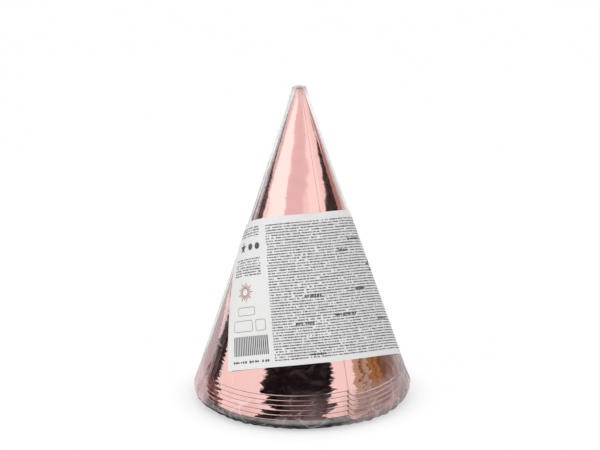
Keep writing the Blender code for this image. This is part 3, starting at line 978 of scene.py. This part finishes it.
# Plain shapes in the left column, from the label's lower left corner.
STAR = (0.0095, 0.0612)
STAR_REACH = (0.0032, 0.0013)
DOTS = ((0.0165, 0.0612), (0.0218, 0.0612))
DOT_REACH = (0.0017,)
FRAMES = (
    (0.0080, 0.0268, 0.0110, 0.0042),
    (0.0050, 0.0188, 0.0122, 0.0056),
    (0.0190, 0.0188, 0.0056, 0.0056),
)
FRAME_CORNER = 0.0010
FRAME_LINE = 0.0002
STRIPES = 19
STRIPE_LEFT = 0.0048
STRIPE_PITCH = 0.0011
STRIPE_WIDTH = 0.0006
STRIPE_ENDS = (0.0068, 0.0164)
ROSETTE = (0.0130, 0.0385)
RAYS = 18
RAY_START = 0.0017
RAY_ENDS = (0.0048, 0.0038)
RAY_HALF_WIDTH = 0.00022


def flat_sheet(name, width, height, nx, ny):
    """A flat grid with its lower left corner at the origin."""
    x, y = np.meshgrid(np.linspace(0, width, nx), np.linspace(0, height, ny))
    points = np.stack([x, y, np.zeros_like(x)], -1).reshape(-1, 3)
    return mesh_from(name, points, grid_faces(ny, nx)[:, ::-1])


def circle(centre, reaches, count, start=0.0):
    """Points round a centre, at distances taken in turn."""
    points = []
    for k in range(count):
        turn = start + 2 * pi * k / count
        reach = reaches[k % len(reaches)]
        points.append((centre[0] + reach * cos(turn), centre[1] + reach * sin(turn)))
    return points


def flat_outline(bm, outer, inner=None):
    """A filled outline in the label's plane, or the band between two outlines with as many points."""
    ring = [bm.verts.new((x, y, 0)) for x, y in outer]
    if inner is None:
        bm.faces.new(ring)
        return
    hole = [bm.verts.new((x, y, 0)) for x, y in inner]
    for i in range(len(ring)):
        j = (i + 1) % len(ring)
        bm.faces.new((ring[i], ring[j], hole[j], hole[i]))


def rounded(x, y, width, height, radius, grow=0.0):
    """Outline of a rounded rectangle with its lower left corner at x, y, its sides cut into short steps."""
    points = []
    reach = radius + grow
    across, upright = width - 2 * radius, height - 2 * radius
    for cx, cy, start, side in (
        (width - radius, radius, -90, upright),
        (width - radius, height - radius, 0, across),
        (radius, height - radius, 90, upright),
        (radius, radius, 180, across),
    ):
        arc = [radians(start + 22.5 * k) for k in range(5)]
        points += [(x + cx + reach * cos(turn), y + cy + reach * sin(turn)) for turn in arc]
        end_x, end_y = points[-1]
        ahead = radians(start + 180)
        steps = max(1, int(side / 0.001))
        for k in range(1, steps):
            along = side * k / steps
            points.append((end_x + along * cos(ahead), end_y + along * sin(ahead)))
    return points


class PACK_OT_label(bpy.types.Operator):
    """Wrap the paper label round the bag and print plain strokes and shapes on it"""

    bl_idname = "pack.label"
    bl_label = "Label"

    def execute(self, context):
        hats, bag, label = context.scene.hat_sizes, context.scene.bag_sizes, context.scene.label_sizes
        colours = context.scene.pack_colours
        self.tree = wrap_tree()
        self.place = {
            "Corner X": label.corner_x,
            "Corner Y": label.corner_y,
            "Tilt": label.tilt,
            "Sine": hats.radius / hats.slant,
            "Apex": apex_over(hats, bag.standoff + UNDER_LABEL),
        }
        paper = paper_material()
        flat = flat_sheet("paper_label", label.width, label.height, LABEL_COLUMNS, LABEL_ROWS)
        sheet = self.wrapped("paper_label", flat, 0.0, paper, label.paper)
        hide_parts("label")
        printed = label.paper + INK_LIFT
        ink = ink_material("black offset ink", colours.ink)
        accent = ink_material("rose offset ink", colours.accent)
        self.wrapped("label_small_print", self.small_print(label, ink), printed, ink)
        self.wrapped("label_shapes", self.shapes(), printed, ink)
        self.wrapped("label_rosette", self.rosette(), printed, accent)
        return {"FINISHED"}

    def wrapped(self, name, flat, lift, material, thickness=0.0):
        """Wraps a flat mesh on the bag and lets it ride there."""
        values = {**self.place, "Lift": lift, "Material": material}
        piece = made_by(self.tree, name, values, flat, thickness)
        piece.data.shade_smooth()
        piece.data.set_sharp_from_angle(angle=SHARP)
        dress(piece, material)
        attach(piece, "bag_body")
        return piece

    def small_print(self, label, ink):
        """The grey block, the darker runs in it and the left column's groups, all of plain strokes."""
        left, bottom, pitch = label.column, BLOCK_MARGIN, label.row_pitch
        width = label.width - left - BLOCK_RIGHT
        rows = int((label.height - 2 * bottom) / pitch)
        blocks = [(left, bottom, width, rows * pitch, GREY_PITCH, rows, GREY_THICKNESS, *GREY_SHARES)]
        rng = np.random.default_rng(12)
        for _ in range(DARK_RUNS):
            y = bottom + int(rng.integers(1, rows - 1)) * pitch
            x = left + rng.uniform(0.0, 0.75) * width
            blocks.append((x, y, rng.uniform(*DARK_LENGTHS), 0.0, *DARK_STROKES))
        blocks += COLUMN_BLOCKS
        tree = rules_tree()
        bm = bmesh.new()
        for seed, (x, y, wide, high, stroke, count, thick, short, long, share) in enumerate(blocks):
            values = {
                "Width": wide,
                "Height": high,
                "Strokes": int(wide / stroke),
                "Rows": count,
                "Thickness": thick,
                "Shortest": short,
                "Longest": long,
                "Share": share,
                "Seed": seed,
                "Material": ink,
            }
            flat = made_by(tree, "flat_strokes", values)
            over = OVERPRINT if thick > DARK_FROM else 0
            flat.data.transform(Matrix.Translation((x + wide / 2, y + high / 2, over)))
            bm.from_mesh(flat.data)
            bpy.data.objects.remove(flat, do_unlink=True)
        return taken_from(bm, "flat_small_print")

    def shapes(self):
        """Plain shapes in the left column: a star, two dots, empty frames and even stripes."""
        bm = bmesh.new()
        hub = bm.verts.new((*STAR, 0))
        points = [bm.verts.new((x, y, 0)) for x, y in circle(STAR, STAR_REACH, 10, pi / 2)]
        for i in range(10):
            bm.faces.new((hub, points[i], points[(i + 1) % 10]))
        for dot in DOTS:
            flat_outline(bm, circle(dot, DOT_REACH, 16))
        for box in FRAMES:
            flat_outline(bm, rounded(*box, FRAME_CORNER), rounded(*box, FRAME_CORNER, -FRAME_LINE))
        low, high = STRIPE_ENDS
        for k in range(STRIPES):
            x = STRIPE_LEFT + STRIPE_PITCH * k
            flat_outline(bm, [(x, low), (x + STRIPE_WIDTH, low), (x + STRIPE_WIDTH, high), (x, high)])
        return taken_from(bm, "flat_shapes")

    def rosette(self):
        """A firework rosette of short rays in the second colour."""
        bm = bmesh.new()
        for k in range(RAYS):
            turn, end = 2 * pi * k / RAYS, RAY_ENDS[k % 2]
            out, side = Vector((cos(turn), sin(turn))), Vector((-sin(turn), cos(turn))) * RAY_HALF_WIDTH
            corners = (out * RAY_START - side, out * end - side, out * end + side, out * RAY_START + side)
            flat_outline(bm, [(ROSETTE[0] + corner.x, ROSETTE[1] + corner.y) for corner in corners])
        return taken_from(bm, "flat_rosette")


# ---- The stage ----

# The camera looks at the middle of the pack, with the focal length in pixels of a 600 pixel wide image.
TARGET = Vector((-0.00024, 0, 0.0905))
ELEVATION = radians(18.9)
DISTANCE = 2.1
ROLL = radians(-0.47)
FOCAL_PIXELS = 4182
IMAGE_PIXELS = 600
SENSOR = 36.0

# The table reaches this far each way. From GLOW_END on out it glows white, and less so in to GLOW_START.
FLOOR_REACH = 6.0
FLOOR_LEVEL = -0.00005
GLOW_START = 0.044
GLOW_END = 0.07
GLOW_NEAR = 0.4
GLOW_FAR = 0.985

# Softboxes: place, size and power.
LAMPS = {
    "left softbox": ((-1.35, -0.75, 1.05), (1.0, 1.2), 9.0),
    "right softbox": ((1.45, -0.9, 1.1), (0.9, 1.1), 7.0),
    "top softbox": ((0.0, 0.1, 1.9), (1.4, 1.4), 8.0),
}
LAMPS_AIM = Vector((0, 0, 0.08))

# The planes that the studio cards lie in, from two coordinates. A card that another one partly hides stands
# a little further out.
WALLS = {
    "front": lambda x, z: (x, -1.6, z),
    "front, further": lambda x, z: (x, -1.61, z),
    "left": lambda y, z: (-1.5, y, z),
    "left, further": lambda y, z: (-1.52, y, z),
    "right": lambda y, z: (1.5, y, z),
    "right, behind": lambda y, z: (1.51, y, z),
    "right, further": lambda y, z: (1.52, y, z),
    "floor": lambda x, y: (x, y, 0.0006),
}
BLACK = "#0D0A0D"
MAROON = "#AA8B86"
SHADE = "#796C61"
AMBER = "#BCA689"
OCHRE = "#A27E45"
BROWN = "#65553F"
UMBER = "#6C593C"
OLIVE = "#95866C"
STRAW = "#B5AD99"
# The brown boards on the right, from edge to edge along Y.
BOARD_EDGES = (-0.78, -0.66, -0.43, -0.36, -0.28, -0.09, -0.05, 0.10, 0.16, 0.32, 0.60, 0.95)
BOARD_TONES = (STRAW, AMBER, BROWN, OLIVE, STRAW, BROWN, OCHRE, UMBER, OCHRE, UMBER, SHADE)
BOARD_TOP = 0.19
BOARD_FALL = 0.25
BOARD_LEAST = 0.01
# Each studio card's plane, tone and strength, and its corners in that plane.
CARDS = {
    "front flag": ("front", BLACK, 1.0, ((-1.25, -0.01), (0.93, -0.01), (1.25, 0.58), (-1.62, 0.58))),
    "front grey card": ("front, further", "#EFE2E7", 1.0, (
        (-1.75, 0.69), (-0.05, 0.605), (0.84, 0.705), (1.63, 0.81),
        (1.75, 0.9), (1.0, 0.77), (-0.56, 0.712), (-1.5, 0.775),
    )),
    "left bright card": ("left, further", "#FFFFFF", 1.38, (
        (-2.4, 0.72), (-0.9, 0.42), (0.35, 0.24), (0.35, 1.1), (-2.4, 1.9),
    )),
    "right bright card": ("right, further", "#FFFFFF", 1.12, (
        (-3.4, 1.1), (-0.8, 0.52), (-0.8, 1.2), (-3.4, 2.4),
    )),
    "left flag": ("left", BLACK, 1.0, (
        (0.48, 0.11), (0.50, 0.20), (0.70, 0.18), (1.0, 0.12), (1.5, 0.02), (1.15, 0.02), (0.8, 0.09),
    )),
    "left low flag": ("left", BLACK, 1.0, (
        (0.40, 0.0), (0.40, 0.03), (0.49, 0.045), (0.48, 0.11), (0.9, 0.13), (1.35, 0.08), (1.45, 0.0),
    )),
    "left floor flag": ("floor", BLACK, 1.0, (
        (-0.08, 0.0), (-0.08, 0.03), (-0.13, 0.085), (-0.30, 0.22), (-0.6, 0.44), (-1.5, 1.25), (-1.5, 0.36),
    )),
    "far floor flag": ("floor", BLACK, 1.0, ((-0.24, 0.92), (-0.55, 0.75), (-1.2, 1.5), (-0.5, 1.9))),
    "back floor card": ("floor", "#7C7679", 1.0, (
        (-0.17, 0.26), (-0.02, 0.30), (-0.06, 0.64), (-0.26, 0.60),
        (-0.42, 0.50), (-1.6, 1.95), (-2.0, 1.7), (-0.6, 0.46),
    )),
    "near floor card": ("floor", "#B6B5BC", 1.0, (
        (-0.08, 0.032), (-0.05, 0.065), (0.0, 0.08), (0.0, 0.24),
        (-0.19, 0.24), (-0.29, 0.221), (-0.131, 0.087),
    )),
    "right flag": ("right, behind", "#302721", 1.0, (
        (-0.5, 0.425), (-0.1, 0.362), (0.27, 0.31), (0.66, 0.235), (0.66, 0.0), (0.6, 0.03), (-0.5, 0.3),
    )),
    "right maroon card": ("right, behind", MAROON, 1.0, (
        (0.66, 0.0), (0.66, 0.19), (1.7, 0.1), (1.7, 0.0),
    )),
    "right maroon floor": ("floor", MAROON, 1.0, ((0.60, 0.42), (0.52, 0.50), (1.5, 1.7), (1.5, 0.85))),
    "right floor card": ("floor", SHADE, 1.0, (
        (0.21, 0.06), (0.16, 0.16), (0.36, 0.38), (0.60, 0.42), (1.5, 0.85), (1.5, 0.25),
    )),
    "right near card": ("floor", "#A2A6A4", 1.0, ((0.125, 0.03), (0.10, 0.09), (0.16, 0.16), (0.21, 0.06))),
    "right pale card": ("floor", "#BCC8C7", 1.0, ((0.08, 0.01), (0.05, 0.08), (0.10, 0.09), (0.125, 0.03))),
    "right back card": ("floor", "#CEDADA", 1.0, (
        (0.36, 0.38), (0.16, 0.48), (1.2, 2.4), (1.9, 2.0), (0.52, 0.50),
    )),
}


def card_on_stage(name, corners, tone, strength=1.0):
    """A studio card that only mirrors see."""
    mesh = bpy.data.meshes.new(name)
    mesh.from_pydata(corners, [], [tuple(range(len(corners)))])
    card = linked(name, mesh)
    material, tree, _ = blank_material(name)
    glow = add(tree, "ShaderNodeEmission", linear(tone), strength)
    add(tree, "ShaderNodeOutputMaterial", glow)
    dress(card, material)
    card.visible_camera = card.visible_diffuse = card.visible_shadow = False
    card.visible_transmission = card.visible_volume_scatter = False


class PACK_OT_stage(bpy.types.Operator):
    """Set up the white floor, the soft lights, the studio cards and the camera"""

    bl_idname = "pack.stage"
    bl_label = "Stage"

    def execute(self, context):
        self.floor()
        self.world(context.scene)
        self.lights()
        self.cards()
        self.camera(context.scene)
        context.scene.view_settings.view_transform = "Standard"
        return {"FINISHED"}

    def floor(self):
        """A table that glows white away from the pack and keeps its shadow close to it."""
        mesh = bpy.data.meshes.new("floor")
        sides = ((-1, -1), (1, -1), (1, 1), (-1, 1))
        corners = [(x * FLOOR_REACH, y * FLOOR_REACH, FLOOR_LEVEL) for x, y in sides]
        mesh.from_pydata(corners, [], [(0, 1, 2, 3)])
        floor = linked("floor", mesh)
        material, tree, spot = blank_material("white table")
        matt = add(tree, "ShaderNodeBsdfDiffuse", linear("#F3F3F3"))
        glow = add(tree, "ShaderNodeEmission", linear("#FFFFFF"), 1.0)
        rays = add(tree, "ShaderNodeLightPath").outputs
        seen = add(tree, MATH, rays["Is Camera Ray"], rays["Is Glossy Ray"], operation="MAXIMUM")
        reach = add(tree, VECTOR, spot, operation="LENGTH").outputs["Value"]
        glow_range = (GLOW_START, GLOW_END, GLOW_NEAR, GLOW_FAR)
        far = add(tree, RANGE, reach, *glow_range, interpolation_type="SMOOTHSTEP")
        share = add(tree, MATH, seen, far, operation="MULTIPLY")
        add(tree, "ShaderNodeOutputMaterial", add(tree, MIX_SHADER, share, matt, glow))
        dress(floor, material)

    def world(self, scene):
        """White where it is seen or mirrored, and plain soft light for the rest."""
        world = bpy.data.worlds.new("white studio")
        world.use_nodes = True
        tree = world.node_tree
        tree.nodes.clear()
        rays = add(tree, "ShaderNodeLightPath").outputs
        seen = add(tree, MATH, rays["Is Camera Ray"], rays["Is Glossy Ray"], operation="MAXIMUM")
        seen = add(tree, MATH, seen, rays["Is Transmission Ray"], operation="MAXIMUM")
        level = add(tree, RANGE, seen, 0.0, 1.0, 0.5, 1.0)
        add(tree, "ShaderNodeOutputWorld", add(tree, "ShaderNodeBackground", linear("#FFFFFF"), level))
        scene.world = world

    def lights(self):
        """Three softboxes that mirrors don't see."""
        for name, (spot, size, power) in LAMPS.items():
            data = bpy.data.lights.new(name, "AREA")
            data.shape = "RECTANGLE"
            data.size, data.size_y = size
            data.energy = power
            lamp = linked(name, data)
            lamp.visible_glossy = False
            lamp.location = spot
            lamp.rotation_euler = (LAMPS_AIM - Vector(spot)).to_track_quat("-Z", "Y").to_euler()

    def cards(self):
        """Dark, coloured and bright studio cards round the pack, seen only in its foil and film."""
        for name, (wall, tone, strength, outline) in CARDS.items():
            card_on_stage(name, [WALLS[wall](*corner) for corner in outline], tone, strength)
        # The boards' tops slope down towards the back, so that the foil above the label sees over them.
        for tone, near, far in zip(BOARD_TONES, BOARD_EDGES, BOARD_EDGES[1:]):
            top = [max(BOARD_TOP - BOARD_FALL * y, BOARD_LEAST) for y in (near, far)]
            outline = ((near, 0.0), (far, 0.0), (far, top[1]), (near, top[0]))
            card_on_stage("right board", [WALLS["right"](*corner) for corner in outline], tone)

    def camera(self, scene):
        """The photograph's viewing angle, with a hair of roll."""
        spot = TARGET + DISTANCE * Vector((0, -cos(ELEVATION), sin(ELEVATION)))
        data = bpy.data.cameras.new("camera")
        data.sensor_width = SENSOR
        data.lens = SENSOR * FOCAL_PIXELS / IMAGE_PIXELS
        data.clip_end = 50
        camera = linked("camera", data)
        facing = (TARGET - spot).to_track_quat("-Z", "Y").to_matrix()
        camera.matrix_world = Matrix.Translation(spot) @ (facing @ Matrix.Rotation(ROLL, 3, "Z")).to_4x4()
        scene.camera = camera


class PACK_PT_panel(bpy.types.Panel):
    """Lists the sizes, the colours and the pieces"""

    bl_idname = "PACK_PT_panel"
    bl_label = "Party Hat Pack"
    bl_space_type = "VIEW_3D"
    bl_region_type = "UI"
    bl_category = "Hats"

    def draw(self, context):
        for key in GROUPS:
            group = getattr(context.scene, key)
            box = self.layout.box()
            box.label(text=key.replace("_", " ").capitalize())
            for name in group.bl_rna.properties.keys():
                if name not in ("name", "rna_type"):
                    box.prop(group, name)
        for operator in OPERATORS:
            self.layout.operator(operator.bl_idname)


OPERATORS = (PACK_OT_hats, PACK_OT_fastenings, PACK_OT_bag, PACK_OT_label, PACK_OT_stage)


def register():
    for group in GROUPS.values():
        bpy.utils.register_class(group)
    for key, group in GROUPS.items():
        setattr(bpy.types.Scene, key, bpy.props.PointerProperty(type=group))
    for operator in OPERATORS:
        bpy.utils.register_class(operator)
    bpy.utils.register_class(PACK_PT_panel)


def unregister():
    bpy.utils.unregister_class(PACK_PT_panel)
    for operator in reversed(OPERATORS):
        bpy.utils.unregister_class(operator)
    for key, group in GROUPS.items():
        delattr(bpy.types.Scene, key)
        bpy.utils.unregister_class(group)


def main():
    register()
    bpy.ops.pack.hats()
    bpy.ops.pack.fastenings()
    bpy.ops.pack.bag()
    bpy.ops.pack.label()
    bpy.ops.pack.stage()


if __name__ == "__main__":
    main()
